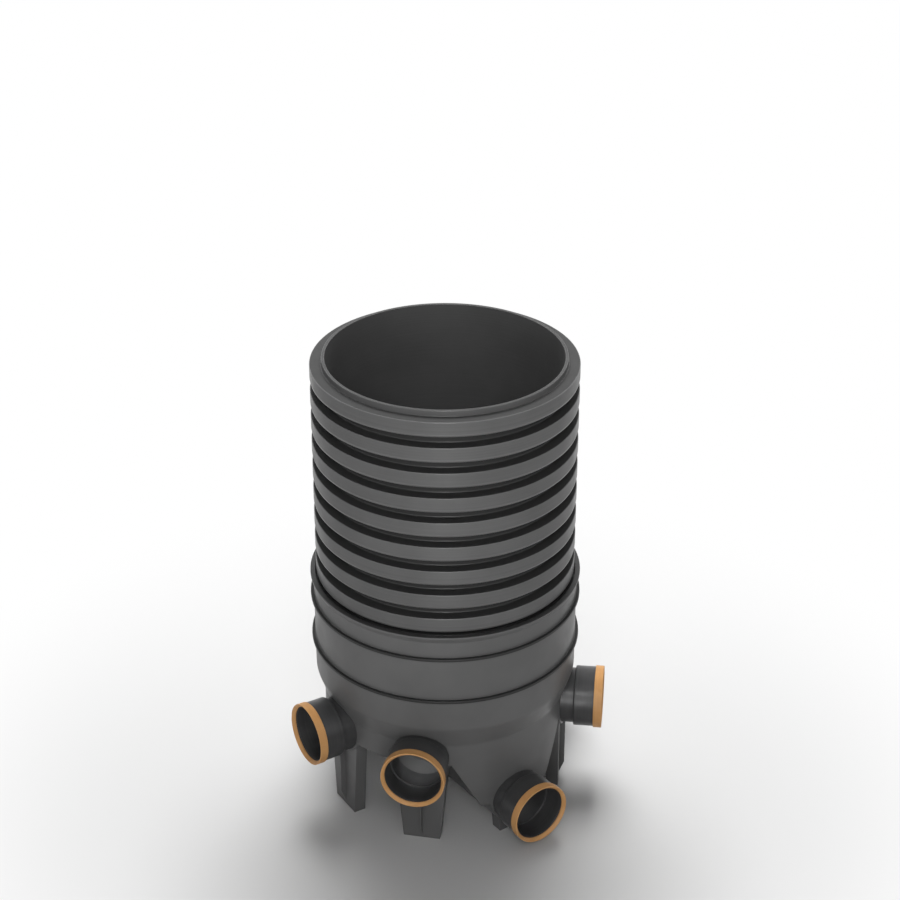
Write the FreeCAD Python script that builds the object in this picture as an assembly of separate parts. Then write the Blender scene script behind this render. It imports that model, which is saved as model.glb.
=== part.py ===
import FreeCAD, Part
import math
import os

# Drain inspection chamber: a moulded base with one outlet and five inlets,
# and a twin-wall corrugated riser seated in the base's socket.
# Millimetres. +Z is up, the origin is on the chamber's axis at the ground,
# and the outlet points along -Y. A bearing is an angle round the axis from
# the outlet, positive towards +X.

# Riser sizes
RISER_BORE_R = 225.0
VALLEY_WALL = 6.0
RIB_DEPTH = 22.5
RIB_COUNT = 13
RIB_HEIGHT = 31.5
GROOVE_HEIGHT = 19.9
CUT_RIB_HEIGHT = 26.2
MOUTH_LIP_HEIGHT = 12.0
RISER_SKIN = 3.0
RIB_TOP_ROUND = 1.5
RIB_FOOT_ROUND = 6.0
VALLEY_ROUND = 2.0
VOID_ROUND = 1.5

# Riser socket of the base
RISER_GAP = 1.5
SOCKET_WALL = 4.0
SOCKET_DEPTH = 197.0
SEAT_WIDTH = 18.0
RIM_REACH = 6.0
RIM_BAND = 4.0
RIM_FLARE = 11.0
RIM_ROUND = 1.2
RING_DEPTHS = (51.0, 146.0)
RING_HEIGHT = 6.0
RING_REACH = 6.5
RING_ROUND = 1.2

# Shoulder, skirt and aprons of the lower body
SHOULDER_DROP = 18.0
SHOULDER_HEIGHT = 47.0
SHOULDER_ROUND = 24.0
BODY_WALL = 6.0
SKIRT_WALL = 4.0
SKIRT_FOOT_DROP = 19.0
APRON_FOOT_HALF = 79.0
APRON_SPREAD = 53.0

# Benching: raised blocks with flat tops between the channels, over a bowl
BENCH_DROP = 43.0
BENCH_WIDTH = 57.0
BENCH_COVER = 51.0
SHELL_WALL = 4.0
BOWL_CENTRE_DROP = 35.0

# Ports: one outlet and five inlets for 110 mm pipe
GROUND_GAP = 14.8
BRANCH_RISE = 124.0
BRANCH_ANGLE = 47.3
RIGHT_REAR_ANGLE = 97.3
LEFT_REAR_ANGLE = 94.6
PIPE_BORE_R = 55.4
BELL_WALL = 4.6
BELL_LENGTH = 46.0
BELL_FLOOR = 4.0
BELL_STEP_ROUND = 1.5
BELL_MOUTH_ROUND = 0.6
NECK_STEP = 0.4
NECK_WALL = 3.2
NECK_LENGTH = 21.0
NECK_HOLD = 16.0
NECK_GAP = 0.15
NECK_LEDGE = 0.5

# Seal and retaining ring at the mouth of each port
RING_WALL = 1.9
RING_LENGTH = 16.5
RING_LIP = 4.0
RING_LIP_GAP = 0.1
RING_SKIRT_GAP = 0.3
RING_EDGE_ROUND = 1.6
RING_SKIRT_ROUND = 0.8
SEAL_THICKNESS = 6.0
SEAL_BITE = 0.1
SEAL_BACK = 3.6
SEAL_ROUND = 0.5

# Riser seal in the riser's lowest groove
RISER_SEAL_RUN = 0.3
RISER_SEAL_HEIGHT = 13.0
RISER_SEAL_FOOT = 7.0
RISER_SEAL_LIP = 3.0
RISER_SEAL_RISE = 4.0
RISER_SEAL_SEAT_GAP = 0.1

# Legs: a tapered channel under each port, with a fin down its middle
LEG_SETBACK = 7.0
LEG_FOOT_HALF = 36.5
LEG_DRAFT = 0.087
LEG_WALL = 4.0
LEG_FLANGE = 24.0
FIN_REACH = 10.0
FIN_WALL = 3.0
FIN_START_Z = 8.0
FIN_TAPER = 26.0

# Radii that follow from the ones above
VALLEY_R = RISER_BORE_R + VALLEY_WALL
RISER_OUTER_R = VALLEY_R + RIB_DEPTH
SOCKET_BORE_R = RISER_OUTER_R + RISER_GAP
SOCKET_OUTER_R = SOCKET_BORE_R + SOCKET_WALL
RIM_OUTER_R = SOCKET_OUTER_R + RIM_REACH
SEAT_R = SOCKET_BORE_R - SEAT_WIDTH
SKIRT_OUTER_R = SEAT_R + BODY_WALL
BENCH_FACE = SEAT_R - BENCH_WIDTH
LEG_FACE = SKIRT_OUTER_R - LEG_SETBACK
BELL_R = PIPE_BORE_R + BELL_WALL
NECK_R = PIPE_BORE_R - NECK_STEP
NECK_HOLE_R = NECK_R + NECK_GAP
RING_OUTER_R = BELL_R + RING_SKIRT_GAP + RING_WALL

# Distances from the chamber's axis along a port
NECK_END = SKIRT_OUTER_R - NECK_HOLD
HOLE_START = NECK_END - NECK_GAP
BELL_START = SKIRT_OUTER_R + NECK_LENGTH
BELL_END = BELL_START + BELL_LENGTH
PORT_REACH = BELL_END + SEAL_THICKNESS + RING_LIP
FAR = 2 * PORT_REACH

# Heights above the ground
OUTLET_Z = RING_OUTER_R + GROUND_GAP
BRANCH_Z = OUTLET_Z + BRANCH_RISE
SKIRT_FOOT_Z = BRANCH_Z - SKIRT_FOOT_DROP
BOWL_CENTRE_Z = OUTLET_Z - BOWL_CENTRE_DROP
BOWL_EDGE_Z = BRANCH_Z - NECK_HOLE_R
BENCH_Z = BRANCH_Z + BENCH_COVER
SEAT_Z = BENCH_Z + BENCH_DROP
SHOULDER_Z = SEAT_Z - SHOULDER_DROP
RIM_Z = SEAT_Z + SOCKET_DEPTH
BOWL_SLOPE = (BOWL_EDGE_Z - BOWL_CENTRE_Z) / BENCH_FACE
RIB_PITCH = RIB_HEIGHT + GROOVE_HEIGHT
RISER_HEIGHT = CUT_RIB_HEIGHT + (RIB_COUNT - 1) * RIB_PITCH + MOUTH_LIP_HEIGHT

# Two points nearer than this are one
SAME_POINT = 1e-6

UP = FreeCAD.Vector(0, 0, 1)
ORIGIN = FreeCAD.Vector(0, 0, 0)

# Name, bearing in degrees and height of each port
PORTS = (
    ("outlet", 0.0, OUTLET_Z),
    ("inlet_right_front", BRANCH_ANGLE, BRANCH_Z),
    ("inlet_right", RIGHT_REAR_ANGLE, BRANCH_Z),
    ("inlet_rear", 180.0, OUTLET_Z),
    ("inlet_left", -LEFT_REAR_ANGLE, BRANCH_Z),
    ("inlet_left_front", -BRANCH_ANGLE, BRANCH_Z),
)


# Drawing helpers
def toward(start, end, distance):
    """The point a distance along the way from start to end."""
    way = end.sub(start)
    way.normalize()
    return start.add(way.multiply(distance))


def rounded_face(corners):
    """A face in the XZ plane through (x, z, radius) corners, each rounded to its radius."""
    points = [FreeCAD.Vector(x, 0, z) for x, z, _ in corners]
    count = len(points)
    ends = []
    edges = []
    for index, (_, _, radius) in enumerate(corners):
        corner = points[index]
        before = points[index - 1].sub(corner)
        after = points[(index + 1) % count].sub(corner)
        if radius == 0:
            ends.append((corner, corner))
            continue
        half = before.getAngle(after) / 2
        reach = radius / math.tan(half)
        first = toward(corner, points[index - 1], reach)
        last = toward(corner, points[(index + 1) % count], reach)
        middle_way = first.add(last).multiply(0.5)
        middle = toward(corner, middle_way, radius / math.sin(half) - radius)
        edges.append(Part.Arc(first, middle, last).toShape())
        ends.append((first, last))
    for index in range(count):
        start = ends[index][1]
        end = ends[(index + 1) % count][0]
        if start.distanceToPoint(end) > SAME_POINT:
            edges.append(Part.LineSegment(start, end).toShape())
    return Part.Face(Part.Wire(Part.__sortEdges__(edges)))


def turned(corners):
    """A solid of revolution round Z from (radius, z, corner radius) corners."""
    return rounded_face(corners).revolve(ORIGIN, UP, 360)


def tube(inner, outer, low, high):
    """A plain ring between two radii and two heights."""
    return turned([(inner, low, 0), (outer, low, 0), (outer, high, 0), (inner, high, 0)])


def at_port(shape, bearing, height):
    """A shape drawn along +Z, laid along the port's axis."""
    placed = shape.copy()
    placed.rotate(ORIGIN, FreeCAD.Vector(1, 0, 0), 90)
    placed.rotate(ORIGIN, UP, bearing)
    placed.translate(FreeCAD.Vector(0, 0, height))
    return placed


def at_bearing(shape, bearing):
    """A shape drawn towards the outlet, turned to another bearing."""
    placed = shape.copy()
    placed.rotate(ORIGIN, UP, bearing)
    return placed


def plate(outline, start, thickness):
    """A plate with an (x, z) outline, from distance start to start + thickness out along -Y."""
    points = [FreeCAD.Vector(x, -start, z) for x, z in outline]
    wire = Part.makePolygon(points + points[:1])
    return Part.Face(wire).extrude(FreeCAD.Vector(0, -thickness, 0))


# Riser
def rib_heights():
    """Low and high edge of every rib, the lowest one cut short."""
    heights = [(0.0, CUT_RIB_HEIGHT)]
    for index in range(1, RIB_COUNT):
        top = CUT_RIB_HEIGHT + index * RIB_PITCH
        heights.append((top - RIB_HEIGHT, top))
    return heights


def riser():
    """Smooth inner wall with hollow ribs round it, cut in a valley at the top."""
    corners = [(RISER_BORE_R, 0, 0)]
    voids = []
    for low, high in rib_heights():
        if low > 0:
            corners.append((VALLEY_R, low, VALLEY_ROUND))
        corners.append((RISER_OUTER_R, low, RIB_FOOT_ROUND))
        corners.append((RISER_OUTER_R, high, RIB_TOP_ROUND))
        corners.append((VALLEY_R, high, VALLEY_ROUND))
        voids.append(turned([
            (RISER_BORE_R + RISER_SKIN, low + RISER_SKIN, VOID_ROUND),
            (RISER_OUTER_R - RISER_SKIN, low + RISER_SKIN, RIB_FOOT_ROUND - RISER_SKIN),
            (RISER_OUTER_R - RISER_SKIN, high - RISER_SKIN, VOID_ROUND),
            (RISER_BORE_R + RISER_SKIN, high - RISER_SKIN, VOID_ROUND),
        ]))
    corners.append((VALLEY_R, RISER_HEIGHT, RIM_ROUND))
    corners.append((RISER_BORE_R, RISER_HEIGHT, RIM_ROUND))
    shape = turned(corners).cut(voids)
    shape.translate(FreeCAD.Vector(0, 0, SEAT_Z))
    return shape


def riser_seal():
    """Rubber ring in the riser's lowest groove, with a lip that reaches the socket wall."""
    foot_r = VALLEY_R + RISER_SEAL_SEAT_GAP
    lip_r = SOCKET_BORE_R - RISER_SEAL_RUN
    low = SEAT_Z + CUT_RIB_HEIGHT + (GROOVE_HEIGHT - RISER_SEAL_HEIGHT) / 2
    high = low + RISER_SEAL_HEIGHT
    return turned([
        (foot_r, low, SEAL_ROUND),
        (foot_r + RISER_SEAL_FOOT, low, SEAL_ROUND),
        (foot_r + RISER_SEAL_FOOT, high - RISER_SEAL_LIP - RISER_SEAL_RISE, SEAL_ROUND),
        (lip_r, high - RISER_SEAL_LIP, SEAL_ROUND),
        (lip_r, high, SEAL_ROUND),
        (foot_r, high, SEAL_ROUND),
    ])


# Base
def socket_shell():
    """Riser socket, seat, shoulder and skirt down to the level foot, with the deck."""
    flare_z = RIM_Z - RIM_BAND - RIM_FLARE
    corners = [
        (0, BENCH_Z, 0),
        (SEAT_R, BENCH_Z, 0),
        (SEAT_R, SEAT_Z, RIM_ROUND),
        (SOCKET_BORE_R, SEAT_Z, RIM_ROUND),
        (SOCKET_BORE_R, RIM_Z, RIM_ROUND),
        (RIM_OUTER_R, RIM_Z, RIM_ROUND),
        (RIM_OUTER_R, RIM_Z - RIM_BAND, RIM_ROUND),
        (SOCKET_OUTER_R, flare_z, RIM_FLARE / 2),
        (SOCKET_OUTER_R, SHOULDER_Z, SHOULDER_ROUND),
        (SKIRT_OUTER_R, SHOULDER_Z - SHOULDER_HEIGHT, SHOULDER_ROUND),
        (SKIRT_OUTER_R, SKIRT_FOOT_Z, 0),
        (SKIRT_OUTER_R - SKIRT_WALL, SKIRT_FOOT_Z, 0),
        (SKIRT_OUTER_R - SKIRT_WALL, BENCH_Z - SHELL_WALL, 0),
        (0, BENCH_Z - SHELL_WALL, 0),
    ]
    return turned(corners)


def stiffening_ring(depth):
    """Narrow ring round the riser socket at a depth below the rim."""
    middle = RIM_Z - depth
    inner = SOCKET_BORE_R + SOCKET_WALL / 2
    outer = SOCKET_OUTER_R + RING_REACH
    return turned([
        (inner, middle - RING_HEIGHT / 2, 0),
        (outer, middle - RING_HEIGHT / 2, RING_ROUND),
        (outer, middle + RING_HEIGHT / 2, RING_ROUND),
        (inner, middle + RING_HEIGHT / 2, 0),
    ])


def apron(bearing):
    """Part of the skirt that drops to a low port between slanted edges."""
    ring = tube(SKIRT_OUTER_R - SKIRT_WALL, SKIRT_OUTER_R, OUTLET_Z, SKIRT_FOOT_Z)
    top_half = APRON_FOOT_HALF + APRON_SPREAD
    edge = plate(
        [
            (-APRON_FOOT_HALF, OUTLET_Z),
            (APRON_FOOT_HALF, OUTLET_Z),
            (top_half, SKIRT_FOOT_Z),
            (-top_half, SKIRT_FOOT_Z),
        ],
        0,
        FAR,
    )
    return ring.common(at_bearing(edge, bearing))


def block_bearings():
    """Bearings of the benching blocks, half way between neighbouring ports."""
    bearings = sorted(bearing % 360 for _, bearing, _ in PORTS)
    following = bearings[1:] + [bearings[0] + 360]
    return [(here + there) / 2 for here, there in zip(bearings, following)]


def bench_outline(face):
    """Corners of the space between the blocks' faces, each at a distance from the axis."""
    ways = [math.radians(bearing) for bearing in block_bearings()]
    corners = []
    for here, there in zip(ways, ways[1:] + [ways[0] + 2 * math.pi]):
        reach = face / math.cos((there - here) / 2)
        middle = (here + there) / 2
        corners.append(FreeCAD.Vector(reach * math.sin(middle), -reach * math.cos(middle), 0))
    return corners


def bowl(face, wall_r, drop):
    """Space inside the blocks' faces and above the sloping floor, dropped by a wall's thickness."""
    corners = bench_outline(face)
    prism = Part.Face(Part.makePolygon(corners + corners[:1])).extrude(UP * BENCH_Z)
    centre_z = BOWL_CENTRE_Z - drop
    edge_z = centre_z + BOWL_SLOPE * wall_r
    cone = turned([(0, centre_z, 0), (wall_r, edge_z, 0), (wall_r, BENCH_Z, 0), (0, BENCH_Z, 0)])
    return prism.common(cone)


def channel(bearing, height, half, wall_r):
    """Round-bottomed channel from the axis to the wall, open up to the benching's top."""
    left = FreeCAD.Vector(-half, 0, height)
    bottom = FreeCAD.Vector(0, 0, height - half)
    right = FreeCAD.Vector(half, 0, height)
    right_top = FreeCAD.Vector(half, 0, BENCH_Z)
    left_top = FreeCAD.Vector(-half, 0, BENCH_Z)
    outline = [
        Part.Arc(left, bottom, right).toShape(),
        Part.LineSegment(right, right_top).toShape(),
        Part.LineSegment(right_top, left_top).toShape(),
        Part.LineSegment(left_top, left).toShape(),
    ]
    long_channel = Part.Face(Part.Wire(outline)).extrude(FreeCAD.Vector(0, -FAR, 0))
    inside = Part.makeCylinder(wall_r, BENCH_Z)
    return at_bearing(long_channel, bearing).common(inside)


def leg(bearing, height):
    """Tapered channel leg under a port, open towards the axis."""
    top = height
    widen = LEG_DRAFT * top
    outer = [
        (-LEG_FOOT_HALF, 0),
        (LEG_FOOT_HALF, 0),
        (LEG_FOOT_HALF + widen, top),
        (-LEG_FOOT_HALF - widen, top),
    ]
    inner = [(x - math.copysign(LEG_WALL, x), z) for x, z in outer]
    shell = plate(outer, LEG_FACE - LEG_FLANGE, LEG_FLANGE)
    hollow = plate(inner, LEG_FACE - LEG_FLANGE, LEG_FLANGE - LEG_WALL)
    return at_bearing(shell.cut(hollow), bearing)


def leg_fin(bearing, height):
    """Fin down the middle of a branch leg's outer face."""
    top = height - NECK_R
    outline = [
        FreeCAD.Vector(0, -LEG_FACE + LEG_WALL, FIN_START_Z),
        FreeCAD.Vector(0, -LEG_FACE, FIN_START_Z),
        FreeCAD.Vector(0, -LEG_FACE - FIN_REACH, FIN_START_Z + FIN_TAPER),
        FreeCAD.Vector(0, -LEG_FACE - FIN_REACH, top),
        FreeCAD.Vector(0, -LEG_FACE + LEG_WALL, top),
    ]
    for point in outline:
        point.x = -FIN_WALL / 2
    fin = Part.Face(Part.makePolygon(outline + outline[:1])).extrude(FreeCAD.Vector(FIN_WALL, 0, 0))
    return at_bearing(fin, bearing)


def chamber_base():
    """One moulding: riser socket, benching, channels, skirt and legs."""
    solids = [socket_shell()]
    hollows = []
    for depth in RING_DEPTHS:
        solids.append(stiffening_ring(depth))
    wall_drop = SHELL_WALL * math.hypot(1, BOWL_SLOPE)
    solids.append(bowl(BENCH_FACE + SHELL_WALL, SKIRT_OUTER_R, wall_drop))
    hollows.append(bowl(BENCH_FACE, SEAT_R, 0))
    for _, bearing, height in PORTS:
        solids.append(channel(bearing, height, NECK_HOLE_R + SHELL_WALL, SKIRT_OUTER_R))
        hollows.append(channel(bearing, height, NECK_HOLE_R - NECK_LEDGE, SEAT_R))
        hole = Part.makeCylinder(NECK_HOLE_R, BELL_START - HOLE_START, UP * HOLE_START)
        hollows.append(at_port(hole, bearing, height))
        if height > OUTLET_Z:
            solids.append(leg(bearing, SKIRT_FOOT_Z + SKIRT_WALL))
            solids.append(leg_fin(bearing, height))
        else:
            solids.append(leg(bearing, height))
            solids.append(apron(bearing))
    shape = solids[0].fuse(solids[1:]).cut(hollows)
    return shape.removeSplitter()


# Ports
def port_socket():
    """Pipe socket along +Z: narrow neck, then a wider bell with a stop for the pipe."""
    neck_bore = NECK_R - NECK_WALL
    stop = BELL_START + BELL_FLOOR
    return turned([
        (neck_bore, NECK_END, BELL_MOUTH_ROUND),
        (NECK_R, NECK_END, BELL_MOUTH_ROUND),
        (NECK_R, BELL_START, BELL_STEP_ROUND),
        (BELL_R, BELL_START, BELL_STEP_ROUND),
        (BELL_R, BELL_END, BELL_MOUTH_ROUND),
        (PIPE_BORE_R, BELL_END, BELL_MOUTH_ROUND),
        (PIPE_BORE_R, stop, 0),
        (neck_bore, stop, BELL_MOUTH_ROUND),
    ])


def port_seal():
    """Rubber ring against the bell's end, with a lip towards the pipe."""
    middle = BELL_END + SEAL_THICKNESS / 2
    high = BELL_END + SEAL_THICKNESS
    lip_r = PIPE_BORE_R - SEAL_BITE
    back_r = BELL_R - SEAL_BACK
    return turned([
        (back_r, BELL_END, SEAL_ROUND),
        (BELL_R, BELL_END, SEAL_ROUND),
        (BELL_R, high, SEAL_ROUND),
        (back_r, high, SEAL_ROUND),
        (lip_r, middle, 0),
    ])


def port_ring():
    """Retaining ring that clips over the bell and holds the seal in."""
    start = PORT_REACH - RING_LENGTH
    lip = PORT_REACH - RING_LIP
    skirt_r = BELL_R + RING_SKIRT_GAP
    mouth_r = PIPE_BORE_R + RING_LIP_GAP
    return turned([
        (skirt_r, start, 0),
        (RING_OUTER_R, start, RING_SKIRT_ROUND),
        (RING_OUTER_R, PORT_REACH, RING_EDGE_ROUND),
        (mouth_r, PORT_REACH, RING_EDGE_ROUND),
        (mouth_r, lip, 0),
        (skirt_r, lip, 0),
    ])


# Every piece, written under its own name
def pieces():
    """Each node's name and solid."""
    yield "chamber_base", chamber_base()
    yield "riser", riser()
    yield "riser_seal", riser_seal()
    for name, bearing, height in PORTS:
        yield name + "_socket", at_port(port_socket(), bearing, height)
        yield name + "_seal", at_port(port_seal(), bearing, height)
        yield name + "_ring", at_port(port_ring(), bearing, height)


os.makedirs("parts", exist_ok=True)
for node, solid in pieces():
    solid.exportStep("parts/" + node + ".step")
    print(node, len(solid.Solids), "solid, valid", solid.isValid(), "volume", round(solid.Volume))
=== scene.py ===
import logging
import math
from dataclasses import dataclass
from enum import Enum
from typing import Any, Sequence, Union

import bpy
import numpy as np
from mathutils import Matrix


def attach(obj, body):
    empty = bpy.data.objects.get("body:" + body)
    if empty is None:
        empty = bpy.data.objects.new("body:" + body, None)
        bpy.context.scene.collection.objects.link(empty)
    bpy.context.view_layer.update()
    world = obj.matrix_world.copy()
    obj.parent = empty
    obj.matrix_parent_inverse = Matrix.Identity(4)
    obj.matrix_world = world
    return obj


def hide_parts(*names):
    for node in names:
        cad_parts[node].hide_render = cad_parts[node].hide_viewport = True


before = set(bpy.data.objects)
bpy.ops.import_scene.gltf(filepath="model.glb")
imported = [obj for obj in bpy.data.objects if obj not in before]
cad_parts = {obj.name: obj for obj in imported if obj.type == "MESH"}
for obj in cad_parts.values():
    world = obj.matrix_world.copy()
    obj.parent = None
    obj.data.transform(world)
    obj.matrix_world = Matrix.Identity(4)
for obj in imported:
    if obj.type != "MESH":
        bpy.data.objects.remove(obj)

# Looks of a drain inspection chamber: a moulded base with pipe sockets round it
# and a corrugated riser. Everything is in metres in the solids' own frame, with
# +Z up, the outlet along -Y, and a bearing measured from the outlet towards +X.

Colour = tuple[float, float, float]
Paint = Union[Colour, bpy.types.NodeSocket]
Corner = tuple[float, float, float]
WHITE = (1.0, 1.0, 1.0, 1.0)
log = logging.getLogger("chamber")


class Body(Enum):
    """The two bodies that pieces ride on."""

    BASE = "base"
    RISER = "riser"


class PortKind(Enum):
    """Whether a port leads water out or in."""

    OUTLET = "outlet"
    INLET = "inlet"


# Shader nodes
class Value:
    """One number in a material's nodes, used in sums like a Python number."""

    def __init__(self, bench: "NodeBench", socket: bpy.types.NodeSocket) -> None:
        """Keeps the socket and the bench that adds the nodes."""
        self.bench = bench
        self.socket = socket

    def combined(self, operation: str, first: "Term", second: "Term") -> "Value":
        """Adds a Math node.

        Args:
            operation: The Math node's operation.
            first: Its first number.
            second: Its second number.

        Returns:
            The node's result.
        """
        node = self.bench.node("ShaderNodeMath", {"operation": operation}, {0: first, 1: second})
        return Value(self.bench, node.outputs[0])

    def __add__(self, other: "Term") -> "Value":
        """The sum."""
        return self.combined("ADD", self, other)

    def __radd__(self, other: "Term") -> "Value":
        """The sum, with the number first."""
        return self.combined("ADD", other, self)

    def __sub__(self, other: "Term") -> "Value":
        """The difference."""
        return self.combined("SUBTRACT", self, other)

    def __rsub__(self, other: "Term") -> "Value":
        """The difference, with the number first."""
        return self.combined("SUBTRACT", other, self)

    def __mul__(self, other: "Term") -> "Value":
        """The product."""
        return self.combined("MULTIPLY", self, other)

    def __rmul__(self, other: "Term") -> "Value":
        """The product, with the number first."""
        return self.combined("MULTIPLY", other, self)

    def either(self, other: "Term") -> "Value":
        """The larger of the two."""
        return self.combined("MAXIMUM", self, other)

    def size(self) -> "Value":
        """The number without its sign."""
        return self.combined("ABSOLUTE", self, 0.0)

    def between(self, low: float, high: float) -> "Value":
        """A smooth step.

        Args:
            low: Where the step starts, at 0.
            high: Where it ends, at 1.

        Returns:
            The share of the way from low to high, eased at both ends.
        """
        node = self.bench.node(
            "ShaderNodeMapRange",
            {"interpolation_type": "SMOOTHSTEP"},
            {"Value": self, "From Min": low, "From Max": high},
        )
        return Value(self.bench, node.outputs[0])


Term = Union[float, Value]


class NodeBench:
    """Adds nodes to one material or world and links them.

    Attributes:
        CLOUD_ROUGHNESS: How strongly the finer layers show in soft noise.
        LINE_ROUGHNESS: How strongly they show in lines.
    """

    CLOUD_ROUGHNESS = 0.55
    LINE_ROUGHNESS = 0.6

    def __init__(self, holder: Union[bpy.types.Material, bpy.types.World]) -> None:
        """Empties the node tree.

        Args:
            holder: The material or world that it belongs to.
        """
        holder.use_nodes = True
        self.tree = holder.node_tree
        self.tree.nodes.clear()

    def node(self, kind: str, settings: dict[str, Any], inputs: dict[Any, Any]) -> bpy.types.Node:
        """Adds a node with its settings, and then its inputs.

        Args:
            kind: The node's type.
            settings: Attributes of the node, set before the inputs.
            inputs: Values or links by the socket's name or number.

        Returns:
            The new node.
        """
        made = self.tree.nodes.new(kind)
        for name, value in settings.items():
            setattr(made, name, value)
        for key, value in inputs.items():
            if isinstance(value, Value):
                value = value.socket
            if isinstance(value, bpy.types.NodeSocket):
                self.tree.links.new(value, made.inputs[key])
            else:
                made.inputs[key].default_value = value
        return made

    def place(self) -> bpy.types.NodeSocket:
        """The point on the object, in metres."""
        return self.node("ShaderNodeTexCoord", {}, {}).outputs["Object"]

    def height(self) -> Value:
        """The point's height above the ground, in metres."""
        parts = self.node("ShaderNodeSeparateXYZ", {}, {0: self.place()})
        return Value(self, parts.outputs["Z"])

    def distance(self, flat: tuple[float, float, float] = (1.0, 1.0, 1.0)) -> Value:
        """The point's distance from the origin.

        Args:
            flat: How much each direction counts.

        Returns:
            The length of the point's vector, with each number taken that many times.
        """
        scaled = self.node(
            "ShaderNodeVectorMath", {"operation": "MULTIPLY"}, {0: self.place(), 1: flat}
        )
        made = self.node("ShaderNodeVectorMath", {"operation": "LENGTH"}, {0: scaled.outputs[0]})
        return Value(self, made.outputs["Value"])

    def backdrop(self) -> Value:
        """Tells the rays that only look from those that light the object.

        Returns:
            1 for a ray from the camera or a mirrored or refracted one, and else 0.
        """
        path = self.node("ShaderNodeLightPath", {}, {})
        seen = Value(self, path.outputs["Is Camera Ray"])
        for ray in ("Is Glossy Ray", "Is Transmission Ray"):
            seen = seen.either(Value(self, path.outputs[ray]))
        return seen

    def attribute(self, name: str) -> Value:
        """A number that the mesh carries at each point."""
        made = self.node("ShaderNodeAttribute", {"attribute_name": name}, {})
        return Value(self, made.outputs["Fac"])

    def cloud(self, patch: float, detail: float = 2.0, shift: float = 0.0) -> Value:
        """Soft noise through space.

        Args:
            patch: The size of a patch, in metres.
            detail: How many finer layers are added.
            shift: An offset that gives another pattern, in metres.

        Returns:
            The noise, about 0.5 on average.
        """
        moved = self.node(
            "ShaderNodeVectorMath", {"operation": "ADD"}, {0: self.place(), 1: (shift,) * 3}
        )
        made = self.node(
            "ShaderNodeTexNoise",
            {},
            {
                "Vector": moved.outputs[0],
                "Scale": 1.0 / patch,
                "Detail": detail,
                "Roughness": self.CLOUD_ROUGHNESS,
            },
        )
        return Value(self, made.outputs[0])

    def lines(self, along: Value, pitch: float, detail: float = 2.0) -> Value:
        """Noise that changes only along one number, so it lies in lines.

        Args:
            along: The number, in metres.
            pitch: The lines' spacing, in metres.
            detail: How many finer layers are added.

        Returns:
            The noise, about 0.5 on average.
        """
        made = self.node(
            "ShaderNodeTexNoise",
            {"noise_dimensions": "1D"},
            {
                "W": along,
                "Scale": 1.0 / pitch,
                "Detail": detail,
                "Roughness": self.LINE_ROUGHNESS,
            },
        )
        return Value(self, made.outputs[0])

    def colour(self, first: Paint, second: Paint, share: Value) -> bpy.types.NodeSocket:
        """Mixes two colours. The Mix node has them at its inputs 6 and 7 and its output 2.

        Args:
            first: The colour at 0, or its socket.
            second: The colour at 1, or its socket.
            share: How much of the second colour shows.

        Returns:
            The mixed colour's socket.
        """
        paints = [(*paint, 1.0) if isinstance(paint, tuple) else paint for paint in (first, second)]
        made = self.node(
            "ShaderNodeMix", {"data_type": "RGBA"}, {"Factor": share, 6: paints[0], 7: paints[1]}
        )
        return made.outputs[2]


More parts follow.
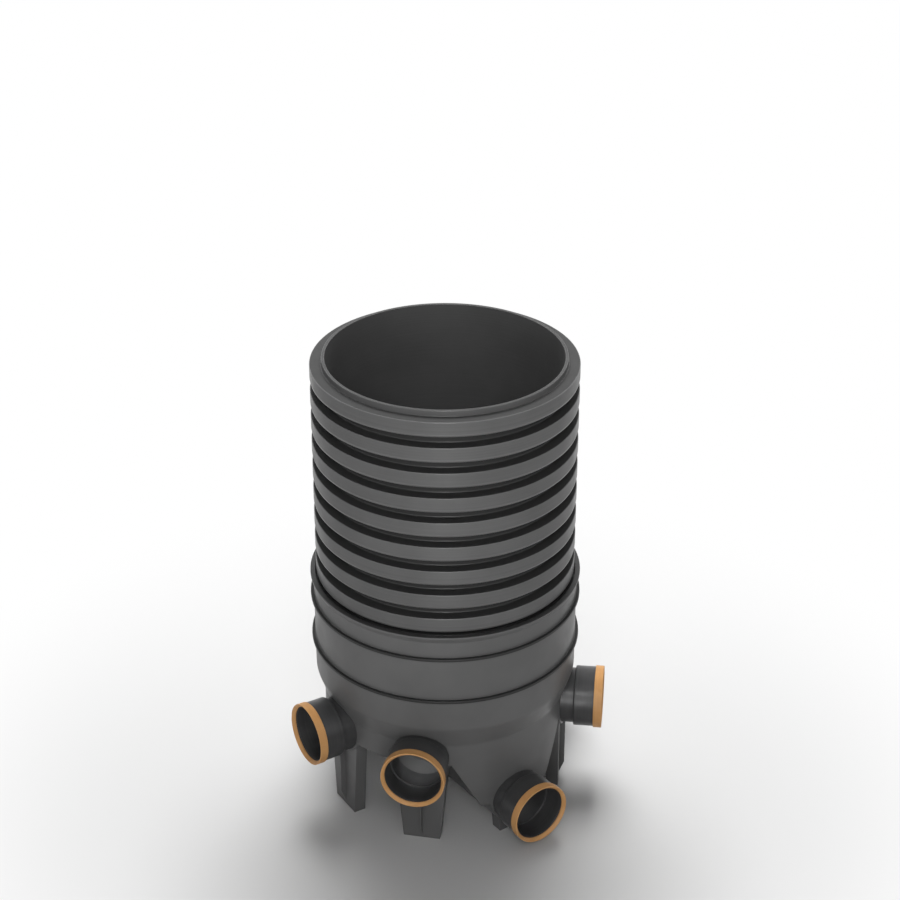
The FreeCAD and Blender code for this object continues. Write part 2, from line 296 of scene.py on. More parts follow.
# Finishes
@dataclass(frozen=True)
class Finish:
    """A plastic or rubber surface that varies in tone, gloss and relief.

    Attributes:
        name: The material's name.
        slot: The record's material slot; not used.
        dark: The colour of the darker patches.
        light: The colour of the lighter patches.
        smooth: Roughness of the glossiest places.
        rough: Roughness of the dullest places.
        patch: Size of the tone's patches, in metres.
        grain: Size of the surface texture, in metres.
        relief: Depth of that texture, in metres.
        gloss: The specular level.
        coat_rough: Roughness of the clear gloss, where there is any.
        contrast: Where the noise counts as 0 and as 1.
        layers: How many finer layers the tone's noise has.
        dull_fine: How many times finer than the tone's the patches of dullness are.
        dull_shift: What moves the pattern of dullness off the tone's, in metres.
        grain_shift: What moves the texture's pattern off both, in metres.
    """

    name: str
    slot: str
    dark: Colour
    light: Colour
    smooth: float
    rough: float
    patch: float
    grain: float
    relief: float
    gloss: float = 0.5
    coat_rough: float = 0.3
    contrast: tuple[float, float] = (0.3, 0.7)
    layers: float = 3.0
    dull_fine: float = 3.0
    dull_shift: float = 3.7
    grain_shift: float = 1.3

    def tone(self, bench: NodeBench) -> Value:
        """How much of the lighter colour shows, from soft patches of noise."""
        return bench.cloud(self.patch, self.layers).between(*self.contrast)

    def tint(self, bench: NodeBench) -> bpy.types.NodeSocket:
        """The surface's colour, between the dark and the light one."""
        return bench.colour(self.dark, self.light, self.tone(bench))

    def ground(self, bench: NodeBench) -> dict[str, Any]:
        """What the relief lies on: nothing, for the mesh's own normals."""
        return {}

    def dullness(self, bench: NodeBench) -> Value:
        """How dull the surface is, from another, finer noise."""
        noise = bench.cloud(self.patch / self.dull_fine, shift=self.dull_shift)
        return noise.between(*self.contrast)

    def coat(self, bench: NodeBench) -> Term:
        """How much clear gloss lies on the surface: none."""
        return 0.0

    def surface(self, bench: NodeBench) -> Value:
        """The surface's relief in metres, from the grain's noise."""
        return bench.cloud(self.grain, shift=self.grain_shift) * self.relief

    def material(self) -> bpy.types.Material:
        """Builds the node material.

        Returns:
            The material, with tone, roughness and relief linked to its shader.
        """
        made = bpy.data.materials.new(self.name)
        bench = NodeBench(made)
        roughness = self.smooth + (self.rough - self.smooth) * self.dullness(bench)
        bump = bench.node(
            "ShaderNodeBump",
            {},
            {"Strength": 1.0, "Distance": 1.0, "Height": self.surface(bench), **self.ground(bench)},
        )
        shader = bench.node(
            "ShaderNodeBsdfPrincipled",
            {},
            {
                "Base Color": self.tint(bench),
                "Roughness": roughness,
                "Specular IOR Level": self.gloss,
                "Coat Weight": self.coat(bench),
                "Coat Roughness": self.coat_rough,
                "Normal": bump.outputs[0],
            },
        )
        bench.node("ShaderNodeOutputMaterial", {}, {"Surface": shader.outputs[0]})
        return made


@dataclass(frozen=True)
class TurnedFinish(Finish):
    """A finish with fine lines round the piece's axis, edges lightened by wear and a painted
    highlight, and painted shade in its grooves.

    Attributes:
        line: Spacing of the lines, in metres.
        line_relief: Depth of the lines, in metres.
        tone_wide: How many times wider the lines of tone are than those of the relief.
        tone_share: How much of the tone the lines make, beside the patches.
        wear_and_sheen: How much lighter the rounded edges are, as wear and a painted highlight.
        wear_sheen_fine: How many times finer than the tone's the patches of that lightening are.
        wear_sheen_shift: What moves the pattern of that lightening off the others, in metres.
        wear_sheen_contrast: Where that noise counts as 0 and as 1.
        painted_shade: The darker colour painted as shade where the mesh marks it, down in the
            grooves and on the inner wall.
        deep_dull: How much duller the grooves are.
        edge_gloss: Clear gloss on the rounded edges.
    """

    line: float = 0.002
    line_relief: float = 0.00002
    tone_wide: float = 4.0
    tone_share: float = 0.4
    wear_and_sheen: float = 0.3
    wear_sheen_fine: float = 6.0
    wear_sheen_shift: float = 5.1
    wear_sheen_contrast: tuple[float, float] = (0.35, 0.65)
    painted_shade: Colour = (0.02, 0.02, 0.02)
    painted_shade_dull: float = 2.5
    edge_gloss: float = 0.0

    def tint(self, bench: NodeBench) -> bpy.types.NodeSocket:
        """The turned surface's colour, with painted shade down in the grooves and on the inner
        wall.
        """
        # Painted shade: the mesh's share of it mixes in the darker colour.
        return bench.colour(super().tint(bench), self.painted_shade, bench.attribute("painted_shade"))

    def dullness(self, bench: NodeBench) -> Value:
        """Patches of dullness, and dull grooves."""
        return super().dullness(bench) + bench.attribute("painted_shade") * self.painted_shade_dull

    def coat(self, bench: NodeBench) -> Term:
        """Clear gloss on the rounded edges alone."""
        return bench.attribute("edge") * self.edge_gloss if self.edge_gloss else 0.0

    def tone(self, bench: NodeBench) -> Value:
        """Patches and lines of tone, lighter on the rounded edges from wear and a painted
        highlight.

        Args:
            bench: What adds the nodes.

        Returns:
            The sum of patches and lines, weighed by their shares, and the edges' wear and painted
            highlight.
        """
        lines = bench.lines(bench.attribute("run"), self.line * self.tone_wide, self.layers)
        patches = bench.cloud(self.patch, self.layers)
        mixed = patches * (1 - self.tone_share) + lines * self.tone_share
        # Edges lightened in patches: partly wear, partly a painted highlight.
        scuffs_and_sheen = bench.cloud(self.patch / self.wear_sheen_fine, shift=self.wear_sheen_shift)
        edge_wear_and_sheen = bench.attribute("edge") * scuffs_and_sheen.between(*self.wear_sheen_contrast)
        return mixed.between(*self.contrast) * (1 - self.wear_and_sheen) + edge_wear_and_sheen * self.wear_and_sheen

    def surface(self, bench: NodeBench) -> Value:
        """Grain, and lines that go round the piece."""
        lines = bench.lines(bench.attribute("run"), self.line)
        return super().surface(bench) + lines * self.line_relief


@dataclass(frozen=True)
class BaseFinish(Finish):
    """Moulded base plastic with softened edges, and painted shade on the stiffening rings and the
    rim's top.

    Attributes:
        rings: The colour painted as shade on the stiffening rings, and on most of the rim's top.
        ring_heights: Height of each ring's middle, in metres.
        ring_half: Half a ring's height, in metres.
        ring_soft: Over what height a ring's painted shade fades, in metres.
        wall: Outer radius of the wall under the rings, in metres.
        proud: How far past the wall a ring's painted shade begins, and where it is full, in metres.
        edge: Radius to which the edges are softened, in metres.
        edge_samples: Samples that find the softened edges.
        rim: Height from which the painted shade on the rim's top begins, in metres.
        rim_soft: Over what height it fades in, in metres.
        painted_rim_shade_share: How much of the rings' painted shade colour it takes.
    """

    rings: Colour = (0.02, 0.02, 0.02)
    ring_heights: tuple[float, float] = (0.441, 0.346)
    ring_half: float = 0.003
    ring_soft: float = 0.0004
    wall: float = 0.259
    proud: tuple[float, float] = (0.0008, 0.0014)
    edge: float = 0.0012
    edge_samples: int = 4
    rim: float = 0.4910
    rim_soft: float = 0.0008
    painted_rim_shade_share: float = 0.75

    def tint(self, bench: NodeBench) -> bpy.types.NodeSocket:
        """The moulding's colour, with painted shade on the stiffening rings and on the rim's top.
        """
        # Painted shade on the rim's top, and the same dark colour painted as shade on the
        # stiffening rings.
        top = bench.height().between(self.rim, self.rim + self.rim_soft) * self.painted_rim_shade_share
        return bench.colour(super().tint(bench), self.rings, self.painted_ring_shade(bench).either(top))

    def painted_ring_shade(self, bench: NodeBench) -> Value:
        """Finds where shade is painted on the stiffening rings, which stand out from the wall at
        two heights.

        Args:
            bench: What adds the nodes.

        Returns:
            1 outside the wall and within half a ring's height of a ring's middle, and else 0.
        """
        begins, full = (self.wall + step for step in self.proud)
        outside = bench.distance((1.0, 1.0, 0.0)).between(begins, full)
        height = bench.height()
        upper, lower = (
            1 - (height - middle).size().between(self.ring_half, self.ring_half + self.ring_soft)
            for middle in self.ring_heights
        )
        return (upper + lower) * outside

    def ground(self, bench: NodeBench) -> dict[str, Any]:
        """What the relief lies on: normals that turn softly round the edges."""
        soft = bench.node("ShaderNodeBevel", {"samples": self.edge_samples}, {"Radius": self.edge})
        return {"Normal": soft.outputs[0]}


# Turned shapes
@dataclass(frozen=True)
class Grooves:
    """The places on a turned piece that take painted shade, in metres.

    They are evenly spaced grooves on its outside, and in part its inner wall, all darkened as
    painted shade. A piece without any has the values given here.

    Attributes:
        floor: Radius just inside the grooves' bottom.
        rim: Radius at which a groove begins.
        first: Distance along the axis where the first groove begins.
        width: Width of a groove.
        pitch: From one groove to the next.
        count: Number of grooves.
        last: Distance along the axis past which no point is in a groove.
        bore: Radius within which a point is on the inner wall.
        bore_share: How much painted shade that wall takes.
        mouth: Distance along the axis past which the wall's edge begins.
        mouth_share: How much more painted shade that edge takes than the wall.
    """

    floor: float = 0.0
    rim: float = 0.0
    first: float = 0.0
    width: float = 0.0
    pitch: float = 1.0
    count: int = 0
    last: float = math.inf
    bore: float = 0.0
    bore_share: float = 0.25
    mouth: float = math.inf
    mouth_share: float = 0.55

    def inside(self, profile: np.ndarray) -> np.ndarray:
        """How much painted shade each point takes.

        A point is in a groove where its radius is between the floor's and the rim's, and its
        distance past the first groove's start, less whole pitches, is no more than the width.

        Args:
            profile: Rows of radius and distance along the axis.

        Returns:
            For each row 1 in a groove, the wall's share on the inner wall, that and the
            edge's share on its edge, and 0 elsewhere.
        """
        radius, along = profile.T
        past = along - self.first
        within = (past % self.pitch <= self.width) & (past >= 0) & (past < self.count * self.pitch)
        groove = within & (radius > self.floor) & (radius < self.rim) & (along < self.last)
        inner = radius < self.bore
        edge = inner & (along > self.mouth)
        return groove + self.bore_share * inner + self.mouth_share * edge


@dataclass(frozen=True)
class Outline:
    """A closed outline in a plane through the axis.

    Attributes:
        corners: Radius, distance along the axis and rounding of each corner, in metres.
        arc_steps: Points on each rounding's arc.
        grooves: The places that take painted shade.
        support: How far outside an arc's end its support point is, as a share of the reach.
    """

    corners: Sequence[Corner]
    arc_steps: int = 4
    grooves: Grooves = Grooves()
    support: float = 0.15

    def points(self) -> tuple[np.ndarray, np.ndarray]:
        """The outline's points and which of them lie on a rounding.

        Each rounding leaves its two sides at the reach, radius / tan(half the corner's angle).
        Its arc's points are the arc's centre plus the radius turned evenly from one side to the
        other, with a support point a little outside each end so that flat sides shade flat.

        Returns:
            An array of (radius, distance) points, and an array with 1 on the roundings.
        """
        table = np.asarray(self.corners, float)
        corner, radius = table[:, :2], table[:, 2:]
        back = self.unit(np.roll(corner, 1, axis=0) - corner)
        ahead = self.unit(np.roll(corner, -1, axis=0) - corner)
        half = np.arccos(np.clip((back * ahead).sum(1, keepdims=True), -1, 1)) / 2
        reach = radius / np.tan(half)
        first, last = corner + back * reach, corner + ahead * reach
        centre = corner + self.unit(back + ahead) * radius / np.sin(half)
        start = np.arctan2(*(first - centre).T[::-1])
        turn = np.arctan2(*(last - centre).T[::-1]) - start
        turn = (turn + math.pi) % (2 * math.pi) - math.pi
        angle = start[:, None] + turn[:, None] * np.linspace(0, 1, self.arc_steps)
        circle = np.stack([np.cos(angle), np.sin(angle)], axis=2)
        arc = centre[:, None] + radius[:, :, None] * circle
        outside = self.support * reach
        rows = [(first + back * outside)[:, None], arc, (last + ahead * outside)[:, None]]
        row = np.concatenate(rows, axis=1)
        edge = np.zeros(row.shape[:2])
        edge[:, 1:-1] = 1.0
        return row.reshape(-1, 2), edge.ravel()

    @staticmethod
    def unit(ways: np.ndarray) -> np.ndarray:
        """The ways divided by their lengths."""
        return ways / np.linalg.norm(ways, axis=1, keepdims=True)


@dataclass(frozen=True)
class Placement:
    """Where a turned shape's axis lies.

    Attributes:
        bearing: Degrees from the outlet, for an axis that points outwards.
        height: The axis's height, in metres.
        upright: Whether the axis is the chamber's own, instead of a port's.
    """

    bearing: float = 0.0
    height: float = 0.0
    upright: bool = True

    def place(self, radius: np.ndarray, along: np.ndarray, angle: np.ndarray) -> np.ndarray:
        """Points of a surface of revolution.

        An upright axis gives x = r cos a, y = r sin a, z = distance. A port's axis gives the
        same circle laid across the port's direction, at the port's height.

        Args:
            radius: Distance from the axis.
            along: Distance along the axis.
            angle: Angle round the axis.

        Returns:
            An array with x, y and z in its last dimension.
        """
        across, up = radius * np.cos(angle), radius * np.sin(angle)
        if self.upright:
            return np.stack([across, up, along + 0 * angle], axis=-1)
        turn = math.radians(self.bearing)
        sine, cosine = math.sin(turn), math.cos(turn)
        x = along * sine + across * cosine
        y = -along * cosine + across * sine
        return np.stack([x, y, up + self.height], axis=-1)


class Turner:
    """Makes pieces by carrying an outline round an axis."""

    def __init__(self, body: Body, finish: Finish, material: bpy.types.Material) -> None:
        """Keeps what the pieces share.

        Args:
            body: The body that they ride on.
            finish: Their finish.
            material: The material made from it.
        """
        self.body = body
        self.finish = finish
        self.material = material

    def piece(
        self, name: str, outline: Outline, placement: Placement, segments: int, node: str
    ) -> None:
        """Turns an outline into a closed piece.

        The surface has two parameters, the place on the outline and the angle, and each point
        is the outline's radius and distance carried round the axis by the angle.

        Args:
            name: The piece's name.
            outline: The closed outline, which runs so that its faces point outwards.
            placement: Where the axis lies.
            segments: Steps round the axis.
            node: The solid that the piece stands for.
        """
        profile, edge = outline.points()
        count = len(profile)
        angle = np.linspace(0, 2 * math.pi, segments, endpoint=False)
        radius, along = profile[:, 0][:, None], profile[:, 1][:, None]
        points = placement.place(radius, along, angle[None, :] + 0 * radius)
        run = np.cumsum(np.r_[0, np.linalg.norm(np.diff(profile, axis=0), axis=1)])
        row = np.arange(count)[:, None] * segments
        next_row = (np.arange(count)[:, None] + 1) % count * segments
        here, there = np.arange(segments)[None], (np.arange(segments)[None] + 1) % segments
        faces = np.stack([row + here, row + there, next_row + there, next_row + here], axis=-1)
        obj = self.mesh_object(name, points.reshape(-1, 3), faces.reshape(-1, 4))
        self.carry(obj, "run", np.repeat(run, segments))
        self.carry(obj, "edge", np.repeat(edge, segments))
        # The share of painted shade at each point, which the finish turns into a darker colour.
        self.carry(obj, "painted_shade", np.repeat(outline.grooves.inside(profile), segments))
        obj.data.materials.append(self.material)
        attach(obj, self.body.value)
        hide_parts(node)
        log.info("%s: %d faces, for %s", name, faces.size // 4, node)

    @staticmethod
    def mesh_object(name: str, points: np.ndarray, faces: np.ndarray) -> bpy.types.Object:
        """Puts points and four-sided faces into a new smooth mesh object.

        Args:
            name: The object's name.
            points: Rows of x, y and z.
            faces: Rows of four point numbers.

        Returns:
            The object, linked into the scene.
        """
        mesh = bpy.data.meshes.new(name)
        mesh.vertices.add(len(points))
        mesh.vertices.foreach_set("co", points.astype(np.float32).ravel())
        mesh.loops.add(faces.size)
        mesh.loops.foreach_set("vertex_index", faces.astype(np.int32).ravel())
        mesh.polygons.add(len(faces))
        mesh.polygons.foreach_set("loop_start", np.arange(0, faces.size, 4, dtype=np.int32))
        mesh.polygons.foreach_set("use_smooth", np.ones(len(faces), bool))
        mesh.update(calc_edges=True)
        mesh.validate()
        obj = bpy.data.objects.new(name, mesh)
        bpy.context.scene.collection.objects.link(obj)
        return obj

    @staticmethod
    def carry(obj: bpy.types.Object, name: str, values: np.ndarray) -> None:
        """Stores a number at each of the mesh's points."""
        layer = obj.data.attributes.new(name, "FLOAT", "POINT")
        layer.data.foreach_set("value", values.astype(np.float32))


# Sub-assemblies
@dataclass
class Riser:
    """The corrugated riser and its seal, from its seat up to the mouth.

    Attributes:
        bore: Radius of the smooth inner wall.
        valley: Radius at the bottom of the grooves.
        outer: Radius of the ribs.
        foot: Height of the cut lower end above the ground.
        cut_rib: Height of the lowest rib, which is cut short.
        rib: Height of a whole rib.
        groove: Height of a groove.
        ribs: Number of ribs, with the cut one.
        lip: Height of the plain lip above the top rib.
        rib_rounds: Rounding of a rib's corners, from the groove below to the one above.
        foot_round: Rounding of the lower end's inner edge.
        lip_round: Rounding of the lip's two edges.
        floor_play: How far inside the valley a point still counts as in a groove, which takes
            painted shade.
        rim_play: How far inside the ribs' outside it stops doing so.
        below_play: How far below a groove it starts doing so.
        length_play: How much longer than a groove that stretch is.
        above_play: How far past the top rib it ends, so that the top rib's shoulder takes painted
            shade too.
        hair: A distance smaller than any step in the outline.
        segments: Steps round the wall.
        seal_low: Lowest point of the seal.
        seal_high: Highest point of the seal.
        seal_outer: Radius of the seal's lip.
        seal_play: Gap between the seal and the groove's bottom.
        seal_foot: Height of the seal's foot, under its lip.
        seal_depth: How far that foot reaches out from the groove's bottom.
        seal_edge: Height of the seal's lip at its outer edge.
        seal_segments: Steps round the seal.
        wall: The wall's plastic.
        rubber: The seal's rubber.
    """

    bore: float = 0.225
    valley: float = 0.231
    outer: float = 0.2535
    foot: float = 0.295
    cut_rib: float = 0.0262
    rib: float = 0.0315
    groove: float = 0.0199
    ribs: int = 13
    lip: float = 0.0120
    rib_rounds: tuple[float, float, float, float] = (0.002, 0.006, 0.0015, 0.002)
    foot_round: float = 0.0008
    lip_round: float = 0.0012
    floor_play: float = 0.0005
    rim_play: float = 0.001
    below_play: float = 0.0016
    length_play: float = 0.0019
    above_play: float = 0.0014
    hair: float = 0.0002
    segments: int = 240
    seal_low: float = 0.32465
    seal_high: float = 0.33765
    seal_outer: float = 0.2547
    seal_play: float = 0.0001
    seal_foot: float = 0.006
    seal_depth: float = 0.007
    seal_edge: float = 0.003
    seal_segments: int = 192
    wall: TurnedFinish = TurnedFinish(
        name="riser_plastic", slot="riser_plastic",
        dark=(0.088, 0.088, 0.088), light=(0.108, 0.108, 0.108),
        smooth=0.28, rough=0.38, patch=0.12, grain=0.0012, relief=0.00003, gloss=0.13,
        # The wall takes a darker colour painted as shade in its grooves, on its top shoulder and on
        # its inner wall, and edges lightened by wear and a painted highlight.
        line=0.0011, line_relief=0.00003, wear_and_sheen=0.1, painted_shade=(0.038, 0.038, 0.038), edge_gloss=0.45,
    )
    rubber: TurnedFinish = TurnedFinish(
        name="riser_rubber", slot="seal_rubber",
        dark=(0.074, 0.074, 0.074), light=(0.094, 0.094, 0.094),
        smooth=0.6, rough=0.75, patch=0.03, grain=0.0006, relief=0.00003,
    )

    def wall_outline(self) -> Outline:
        """The ribbed wall's outline: down the smooth bore, then up over rib after rib.

        Returns:
            The closed outline, with every rib's four corners rounded.
        """
        tops = self.cut_rib + np.arange(self.ribs) * (self.rib + self.groove)
        lows = np.where(np.arange(self.ribs) > 0, tops - self.rib, 0.0)
        heights = np.repeat(np.stack([lows, tops], axis=1).ravel(), 2)
        ways = np.tile([self.valley, self.outer, self.outer, self.valley], self.ribs)
        rounds = np.tile(self.rib_rounds, self.ribs)
        top = tops[-1] + self.lip
        ways = np.r_[self.bore, ways[1:], self.valley, self.bore]
        heights = np.r_[0.0, heights[1:], top, top] + self.foot
        rounds = np.r_[self.foot_round, rounds[1:], self.lip_round, self.lip_round]
        grooves = Grooves(
            floor=self.valley - self.floor_play,
            rim=self.outer - self.rim_play,
            first=self.foot + self.cut_rib - self.below_play,
            width=self.groove + self.length_play,
            pitch=self.rib + self.groove,
            count=self.ribs,
            last=self.foot + tops[-1] + self.above_play,
            bore=self.valley - self.hair,
            mouth=self.foot + top - self.hair,
        )
        return Outline(np.stack([ways, heights, rounds], axis=1), grooves=grooves)

    def seal_outline(self) -> Outline:
        """The seal's outline: a foot in the groove, and over it a lip that leans outwards.

        Returns:
            The closed outline, from the foot's inner lower corner.
        """
        inner, middle = self.valley + self.seal_play, self.seal_low + self.seal_foot
        return Outline(
            [
                (inner, self.seal_low, 0.0006),
                (inner + self.seal_depth, self.seal_low, 0.0015),
                (inner + self.seal_depth, middle, 0.001),
                (self.seal_outer, self.seal_high - self.seal_edge, 0.0006),
                (self.seal_outer, self.seal_high, 0.0006),
                (inner, self.seal_high, 0.0006),
            ]
        )

    def build(self) -> None:
        """Builds the riser and its seal."""
        wall = Turner(Body.RISER, self.wall, self.wall.material())
        wall.piece("riser_wall", self.wall_outline(), Placement(), self.segments, "riser")
        seal = Turner(Body.RISER, self.rubber, self.rubber.material())
        outline = self.seal_outline()
        seal.piece("riser_seal_ring", outline, Placement(), self.seal_segments, "riser_seal")


@dataclass(frozen=True)
class Port:
    """One outlet or inlet.

    Attributes:
        name: The start of its nodes' names.
        bearing: Degrees from the outlet.
        kind: Outlet or inlet.
        height: Its axis's height above the ground, in metres.
    """

    name: str
    bearing: float
    kind: PortKind
    height: float


@dataclass
class PortFittings:
    """Socket, seal and retaining ring of every port.

    Attributes:
        ports: The six ports.
        neck: Outer radius of the socket's neck.
        neck_bore: Inner radius of the neck.
        neck_start: Where the neck begins, from the chamber's axis.
        bell: Outer radius of the bell.
        pipe: Radius of the bell's bore.
        bell_start: Where the bell begins.
        bell_end: Where the bell ends.
        ring: Outer radius of the retaining ring.
        ring_start: Where the ring begins.
        reach: Where the ring ends.
        mouth: Radius of the ring's mouth.
        rim: Inner radius of the ring's front edge.
        lip_front: Front of the lip round the mouth, set back from the ring's front.
        lip_back: Back of that lip.
        stop_depth: How far past the bell's start the pipe's stop is.
        washer: Width of the seal's flat part.
        seal_gap: Gap between the seal and the ring's lip.
        seal_press: How far the seal's lip reaches into the pipe's passage.
        ring_gap: Gap between the ring and the bell.
        arc_steps: Points on each rounding of the socket and the ring.
        segments: Steps round a piece.
        body: The sockets' plastic.
        clip: The retaining rings' plastic.
        rubber: The seals' rubber.
    """

    ports: tuple[Port, ...] = (
        Port("outlet", 0.0, PortKind.OUTLET, 0.077),
        Port("inlet_right_front", 47.3, PortKind.INLET, 0.201),
        Port("inlet_right", 97.3, PortKind.INLET, 0.201),
        Port("inlet_rear", 180.0, PortKind.INLET, 0.077),
        Port("inlet_left", -94.6, PortKind.INLET, 0.201),
        Port("inlet_left_front", -47.3, PortKind.INLET, 0.201),
    )
    neck: float = 0.055
    neck_bore: float = 0.0518
    neck_start: float = 0.227
    bell: float = 0.060
    pipe: float = 0.0554
    bell_start: float = 0.264
    bell_end: float = 0.310
    ring: float = 0.0622
    ring_start: float = 0.3035
    reach: float = 0.320
    mouth: float = 0.0555
    rim: float = 0.0604
    lip_front: float = 0.3148
    lip_back: float = 0.3128
    stop_depth: float = 0.004
    washer: float = 0.0036
    seal_gap: float = 0.0002
    seal_press: float = 0.0001
    ring_gap: float = 0.0003
    arc_steps: int = 5
    segments: int = 128
    # Edges of sockets, retaining rings and seals are lightened by wear and a painted highlight.
    body: TurnedFinish = TurnedFinish(
        name="socket_plastic", slot="socket_plastic",
        dark=(0.036, 0.036, 0.037), light=(0.058, 0.058, 0.059),
        smooth=0.30, rough=0.40, patch=0.05, grain=0.0015, relief=0.00002, gloss=0.3,
        line=0.0016, line_relief=0.00004, wear_and_sheen=0.3,
    )
    clip: TurnedFinish = TurnedFinish(
        name="ring_plastic", slot="ring_plastic",
        dark=(0.44, 0.225, 0.082), light=(0.58, 0.32, 0.130),
        smooth=0.46, rough=0.58, patch=0.03, grain=0.0009, relief=0.00003, gloss=0.3,
        line=0.0012, line_relief=0.00002, wear_and_sheen=0.35,
    )
    rubber: TurnedFinish = TurnedFinish(
        name="seal_rubber", slot="seal_rubber",
        dark=(0.030, 0.030, 0.030), light=(0.044, 0.044, 0.044),
        smooth=0.6, rough=0.75, patch=0.02, grain=0.0006, relief=0.00003,
    )

    def socket_outline(self) -> Outline:
        """Neck, step and bell, with the stop inside where the pipe ends.

        Returns:
            The closed outline, from the neck's inner end.
        """
        stop = self.bell_start + self.stop_depth
        return Outline(
            [
                (self.neck_bore, self.neck_start, 0.0006),
                (self.neck, self.neck_start, 0.0006),
                (self.neck, self.bell_start, 0.0015),
                (self.bell, self.bell_start, 0.0015),
                (self.bell, self.bell_end, 0.0008),
                (self.pipe, self.bell_end, 0.0008),
                (self.pipe, stop, 0.0006),
                (self.neck_bore, stop, 0.0006),
            ],
            self.arc_steps,
        )

    def seal_outline(self) -> Outline:
        """A flat rubber washer whose lip points inwards.

        Returns:
            The closed outline, from the washer's inner edge on the socket.
        """
        inner, end = self.bell - self.washer, self.lip_back - self.seal_gap
        middle = (self.bell_end + end) / 2
        return Outline(
            [
                (inner, self.bell_end, 0.0004),
                (self.bell, self.bell_end, 0.0004),
                (self.bell, end, 0.0005),
                (inner, end, 0.0004),
                (self.pipe - self.seal_press, middle, 0.0006),
            ]
        )

    def ring_outline(self) -> Outline:
        """A band over the bell, with a lip set back in its mouth that holds the seal in.

        Returns:
            The closed outline, from the band's inner edge behind the seal.
        """
        skirt = self.bell + self.ring_gap
        return Outline(
            [
                (skirt, self.ring_start, 0.0004),
                (self.ring, self.ring_start, 0.0008),
                (self.ring, self.reach, 0.0009),
                (self.rim, self.reach, 0.0009),
                (self.mouth, self.lip_front, 0.0010),
                (self.mouth, self.lip_back, 0.0004),
                (skirt, self.lip_back, 0.0006),
            ],
            self.arc_steps,
        )

    def build(self) -> None:
        """Builds and dresses the three pieces of every port."""
        sets = (
            ("socket", "pipe_socket", self.socket_outline(), self.body),
            ("seal", "lip_seal", self.seal_outline(), self.rubber),
            ("ring", "retaining_ring", self.ring_outline(), self.clip),
        )
        turners = [Turner(Body.BASE, finish, finish.material()) for _, _, _, finish in sets]
        for port in self.ports:
            place = Placement(port.bearing, port.height, upright=False)
            log.info("%s: %s at %.1f degrees", port.name, port.kind.value, port.bearing)
            for (node, word, outline, _), turner in zip(sets, turners):
                name = f"{port.name}_{word}"
                turner.piece(name, outline, place, self.segments, f"{port.name}_{node}")


@dataclass
class ChamberBase:
    """The one-piece base moulding, which keeps its own mesh and gets a finish.

    Attributes:
        node: The moulding's node.
        finish: Its plastic.
    """

    node: str = "chamber_base"
    finish: BaseFinish = BaseFinish(
        name="base_plastic", slot="base_plastic",
        dark=(0.088, 0.088, 0.088), light=(0.106, 0.106, 0.106),
        smooth=0.34, rough=0.44, patch=0.16, grain=0.0014, relief=0.00004, gloss=0.22,
    )

    def build(self) -> None:
        """Gives the moulding's node its material."""
        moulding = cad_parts[self.node]
        material = self.finish.material()
        for holder in moulding.material_slots:
            holder.material = material
        log.info("%s: kept, with %s", self.node, material.name)


@dataclass(frozen=True)
class Lamp:
    """A flat soft lamp.

    Attributes:
        name: The lamp's name.
        place: Where it hangs.
        width: Its width, in metres.
        height: Its height, in metres.
        power: Its power, in watts.
        aim: The height of the point on the chamber's axis that it faces.
        spread: The angle into which it shines, in degrees.
        mirrored: Whether glossy surfaces show its reflection.
    """

    name: str
    place: tuple[float, float, float]
    width: float
    height: float
    power: float
    aim: float = 0.45
    spread: float = 180.0
    mirrored: bool = True


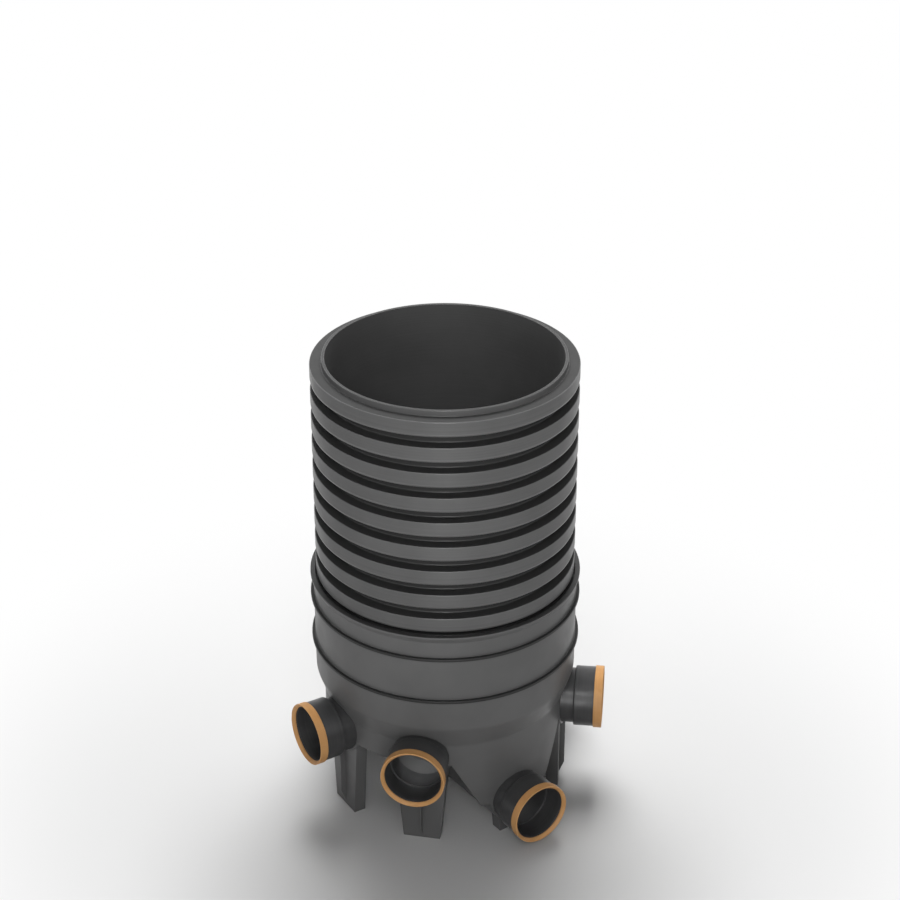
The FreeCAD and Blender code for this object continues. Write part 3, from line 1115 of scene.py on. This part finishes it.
@dataclass
class Studio:
    """Pale floor, soft lamps, white surroundings and the photograph's camera.

    Attributes:
        floor_radii: Radii of the floor's rings of points, in metres.
        floor_steps: Steps round the floor.
        floor_colour: The floor's own colour.
        floor_fade: Where the floor begins to turn white, and where it is white, in metres.
        sky: Strength of the light from all round.
        eye: The camera's place.
        tilt: The camera's turn about its own X axis, in degrees from straight down.
        heading: The camera's turn about the upright axis, in degrees.
        lens: Its focal length, in millimetres.
        sensor: The width of its frame, in millimetres.
        far: The distance to which it sees, in metres.
        lamps: The lamps.
    """

    floor_radii: tuple[float, ...] = (0.001, 1.5, 3.0, 6.0)
    floor_steps: int = 96
    floor_colour: Colour = (0.50, 0.50, 0.50)
    floor_fade: tuple[float, float] = (0.45, 1.2)
    sky: float = 0.28
    eye: tuple[float, float, float] = (-2.0742, -2.8711, 2.6620)
    tilt: float = 61.597
    heading: float = -36.0
    lens: float = 84.30
    sensor: float = 36.0
    far: float = 60.0
    lamps: tuple[Lamp, ...] = (
        Lamp("rear_softbox", (0.80, 1.11, 3.5), 1.8, 1.8, 215.0, mirrored=False),
        Lamp("strip_softbox", (-1.53, -2.10, 0.85), 0.5, 1.5, 3.8, aim=0.85, spread=70.0),
        Lamp("high_softbox", (-1.80, -2.45, 2.8), 1.4, 0.8, 5.8, aim=1.2, spread=60.0),
        Lamp("low_softbox", (-0.71, -0.97, 0.03), 0.8, 0.3, 0.8, aim=1.4, spread=80.0),
    )

    def build(self) -> None:
        """Builds the floor, the surroundings, the lamps and the camera."""
        self.build_floor()
        self.build_surroundings()
        for lamp in self.lamps:
            self.build_lamp(lamp)
        self.build_camera()

    def build_floor(self) -> None:
        """A flat disc of rings and spokes, at the ground: x = r cos a, y = r sin a, z = 0."""
        steps = self.floor_steps
        angle = np.linspace(0, 2 * math.pi, steps, endpoint=False)[None]
        radius = np.array(self.floor_radii)[:, None]
        x, y = radius * np.cos(angle), radius * np.sin(angle)
        flat = np.stack([x, y, np.zeros_like(x)], axis=-1)
        row = np.arange(len(radius) - 1)[:, None] * steps
        here, there = np.arange(steps)[None], (np.arange(steps)[None] + 1) % steps
        faces = [row + here, row + steps + here, row + steps + there, row + there]
        quads = np.stack(faces, axis=-1).reshape(-1, 4)
        floor = Turner.mesh_object("studio_floor", flat.reshape(-1, 3), quads)
        floor.data.materials.append(self.floor_material())
        log.info("studio_floor: round, %.1f m", self.floor_radii[-1])

    def floor_material(self) -> bpy.types.Material:
        """A pale matt floor that turns to plain white away from the chamber.

        Returns:
            The floor's material.
        """
        made = bpy.data.materials.new("studio_floor")
        bench = NodeBench(made)
        share = bench.distance().between(*self.floor_fade) * bench.backdrop()
        matt = bench.node("ShaderNodeBsdfDiffuse", {}, {"Color": (*self.floor_colour, 1.0)})
        white = bench.node("ShaderNodeEmission", {}, {"Color": WHITE, "Strength": 1.0})
        mixed = bench.node(
            "ShaderNodeMixShader", {}, {0: share, 1: matt.outputs[0], 2: white.outputs[0]}
        )
        bench.node("ShaderNodeOutputMaterial", {}, {"Surface": mixed.outputs[0]})
        return made

    def build_surroundings(self) -> None:
        """Even light from all round, which the camera and mirrored rays see as plain white."""
        world = bpy.data.worlds.new("studio_surroundings")
        bpy.context.scene.world = world
        bench = NodeBench(world)
        strength = self.sky + (1.0 - self.sky) * bench.backdrop()
        light = bench.node("ShaderNodeBackground", {}, {"Color": WHITE, "Strength": strength})
        bench.node("ShaderNodeOutputWorld", {}, {"Surface": light.outputs[0]})

    def build_lamp(self, lamp: Lamp) -> None:
        """Adds an area lamp that faces the chamber's axis at the height of its aim.

        Args:
            lamp: The lamp.
        """
        data = bpy.data.lights.new(lamp.name, "AREA")
        data.shape = "RECTANGLE"
        data.size = lamp.width
        data.size_y = lamp.height
        data.energy = lamp.power
        data.spread = math.radians(lamp.spread)
        holder = bpy.data.objects.new(lamp.name, data)
        bpy.context.scene.collection.objects.link(holder)
        x, y, z = lamp.place
        down = math.atan2(math.hypot(x, y), z - lamp.aim)
        holder.location = lamp.place
        holder.rotation_euler = (down, 0.0, math.atan2(x, -y))
        holder.visible_glossy = lamp.mirrored
        holder.visible_camera = False
        log.info("%s: %.1f W", lamp.name, lamp.power)

    def build_camera(self) -> None:
        """Sets the scene's camera at the photograph's view."""
        data = bpy.data.cameras.new("photo_camera")
        data.sensor_width = self.sensor
        data.lens = self.lens
        data.clip_end = self.far
        camera = bpy.data.objects.new("photo_camera", data)
        camera.location = self.eye
        camera.rotation_euler = (math.radians(self.tilt), 0.0, math.radians(self.heading))
        bpy.context.scene.collection.objects.link(camera)
        bpy.context.scene.camera = camera


def main() -> None:
    """Builds every piece in order, then the studio."""
    logging.basicConfig(level=logging.INFO, format="%(name)s: %(message)s")
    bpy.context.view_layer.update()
    for part in (ChamberBase(), PortFittings(), Riser(), Studio()):
        part.build()
    bpy.context.scene.view_settings.view_transform = "Standard"
    bpy.context.view_layer.update()


if __name__ == "__main__":
    main()
